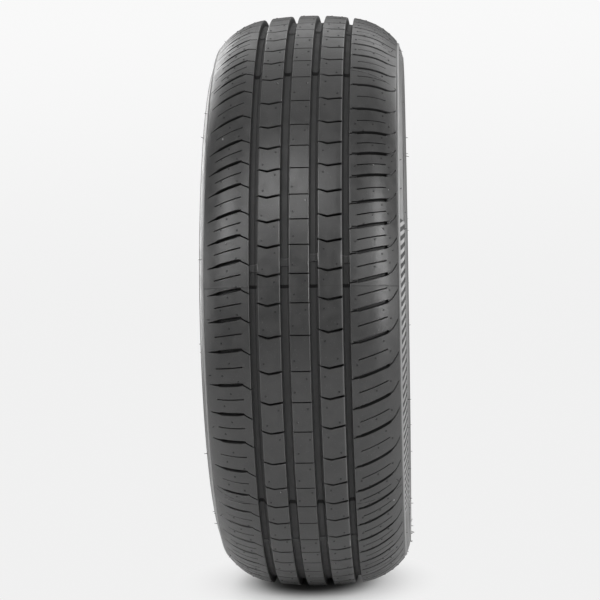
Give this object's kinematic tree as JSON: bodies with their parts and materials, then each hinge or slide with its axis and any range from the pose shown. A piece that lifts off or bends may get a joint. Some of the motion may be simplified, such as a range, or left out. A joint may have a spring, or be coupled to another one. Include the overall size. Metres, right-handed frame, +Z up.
{
  "type": "car tyre",
  "caption": "Tubeless radial car tyre off its rim, with long grooves, notched ribs and tread blocks of varied length.",
  "frame": {"origin": "centre of the wheel, on the axle and midway between the beads", "axes": "+Y along the axle, +Z up, +X out of the tread towards the camera"},
  "size_m": [0.6318, 0.2048, 0.6318],
  "materials": {
    "tyre": "satin"
  },
  "bodies": {
    "root": {"tyre": "tyre"}
  },
  "joints": []
}
